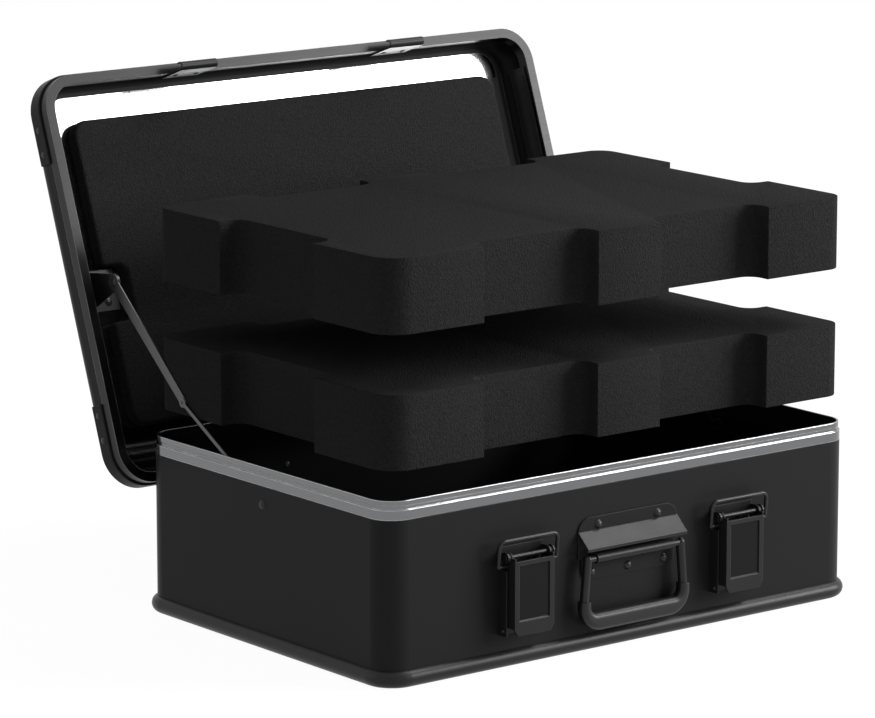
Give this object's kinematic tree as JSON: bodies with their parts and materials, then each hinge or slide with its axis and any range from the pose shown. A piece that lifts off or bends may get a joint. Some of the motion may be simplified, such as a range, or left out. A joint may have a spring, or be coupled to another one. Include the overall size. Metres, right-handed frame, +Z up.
{
  "type": "transport case",
  "caption": "Black aluminium transport case with an overlapping hinged lid, two toggle latches, a drop handle, folding lid stays and notched foam layers.",
  "frame": {"origin": "middle of the underside of the base", "axes": "+Z up, the front with the latches and handle faces -Y, +X to the right seen from the front"},
  "size_m": [0.606, 0.5695, 0.5019],
  "materials": {
    "black_sheet": "satin",
    "bright_rim": "gloss",
    "lid_rim": "satin",
    "dark_metal": "satin",
    "rivets": "gloss",
    "stay_steel": "satin",
    "wire": "gloss",
    "foam": "matte",
    "seal": "matte",
    "grip": "satin",
    "label": "satin"
  },
  "bodies": {
    "base": {"base_shell": "black_sheet", "base_bead": "black_sheet", "base_rim": "bright_rim", "base_hinge_leaves": "dark_metal", "hinge_pins": "rivets", "base_hinge_rivets": "rivets", "latch_plates": "dark_metal", "latch_plate_rivets": "rivets", "latch_pins": "rivets", "latch_washers": "rivets", "handle_plate": "black_sheet", "handle_cover": "black_sheet", "handle_bearings": "dark_metal", "handle_rivets": "rivets", "stay_wall_rivets": "rivets", "stay_washers": "rivets"},
    "lid": {"lid_shell": "black_sheet", "lid_rim": "lid_rim", "lid_liner": "bright_rim", "lid_seal": "seal", "lid_pad": "foam", "lid_hinge_leaves": "dark_metal", "lid_hinge_rivets": "rivets", "corner_plates": "black_sheet", "corner_rivets": "rivets", "side_strips": "dark_metal", "side_strip_rivets": "rivets", "latch_keepers": "dark_metal", "keeper_rivets": "rivets", "stay_brackets": "dark_metal", "bracket_rivets": "rivets", "bracket_pivots": "rivets"},
    "stay_lower_left": {"stay_lower_left": "stay_steel", "elbow_rivet_left": "rivets"},
    "stay_upper_left": {"stay_upper_left": "stay_steel"},
    "stay_lower_right": {"stay_lower_right": "stay_steel", "elbow_rivet_right": "rivets"},
    "stay_upper_right": {"stay_upper_right": "stay_steel"},
    "upper_layer": {"foam_upper": "foam"},
    "lower_layer": {"foam_lower": "foam"},
    "lever_left": {"latch_lever_left": "black_sheet", "label_plate_left": "label"},
    "bail_left": {"latch_bail_left": "wire"},
    "lever_right": {"latch_lever_right": "black_sheet", "label_plate_right": "label"},
    "bail_right": {"latch_bail_right": "wire"},
    "handle": {"handle_bar": "wire", "handle_grip": "grip"}
  },
  "joints": [
    {"name": "lid_hinge", "type": "hinge", "parent": "base", "child": "lid", "pos_m": [0, 0.1913, 0.132], "axis": [-1, 0, 0], "range_deg": [-18, 0]},
    {"name": "stay_lower_left_pivot", "type": "hinge", "parent": "base", "child": "stay_lower_left", "pos_m": [-0.27745, 0, 0.1373], "axis": [-1, 0, 0], "range_deg": [0, 16]},
    {"name": "stay_upper_left_pivot", "type": "hinge", "parent": "lid", "child": "stay_upper_left", "pos_m": [-0.2761, 0.24426, 0.30883], "axis": [-1, 0, 0], "range_deg": [-16, 0]},
    {"name": "stay_lower_right_pivot", "type": "hinge", "parent": "base", "child": "stay_lower_right", "pos_m": [0.27745, 0, 0.1373], "axis": [-1, 0, 0], "range_deg": [0, 16]},
    {"name": "stay_upper_right_pivot", "type": "hinge", "parent": "lid", "child": "stay_upper_right", "pos_m": [0.2761, 0.24426, 0.30883], "axis": [-1, 0, 0], "range_deg": [-16, 0]},
    {"name": "upper_layer_lift", "type": "slide", "parent": "base", "child": "upper_layer", "axis": [0, 0, 1], "range_m": [-0.2489, 0]},
    {"name": "lower_layer_lift", "type": "slide", "parent": "base", "child": "lower_layer", "axis": [0, 0, 1], "range_m": [-0.1953, 0]},
    {"name": "latch_lever_left_hinge", "type": "hinge", "parent": "base", "child": "lever_left", "pos_m": [-0.128, -0.1996, 0.106], "axis": [-1, 0, 0], "range_deg": [0, 150]},
    {"name": "latch_bail_left_pivot", "type": "hinge", "parent": "lever_left", "child": "bail_left", "pos_m": [-0.128, -0.198, 0.098], "axis": [1, 0, 0], "range_deg": [0, 135]},
    {"name": "latch_lever_right_hinge", "type": "hinge", "parent": "base", "child": "lever_right", "pos_m": [0.128, -0.1996, 0.106], "axis": [-1, 0, 0], "range_deg": [0, 150]},
    {"name": "latch_bail_right_pivot", "type": "hinge", "parent": "lever_right", "child": "bail_right", "pos_m": [0.128, -0.198, 0.098], "axis": [1, 0, 0], "range_deg": [0, 135]},
    {"name": "handle_hinge", "type": "hinge", "parent": "base", "child": "handle", "pos_m": [0, -0.198, 0.089], "axis": [-1, 0, 0], "range_deg": [0, 90]}
  ],
  "couplings": [
    {"joint": "stay_lower_left_pivot", "follows": "lid_hinge", "ratio": -0.88},
    {"joint": "stay_upper_left_pivot", "follows": "lid_hinge", "ratio": 0.847},
    {"joint": "stay_lower_right_pivot", "follows": "lid_hinge", "ratio": -0.88},
    {"joint": "stay_upper_right_pivot", "follows": "lid_hinge", "ratio": 0.847},
    {"joint": "lower_layer_lift", "follows": "upper_layer_lift", "ratio": 0.7842},
    {"joint": "latch_bail_left_pivot", "follows": "latch_lever_left_hinge", "ratio": 0.9},
    {"joint": "latch_bail_right_pivot", "follows": "latch_lever_right_hinge", "ratio": 0.9}
  ]
}
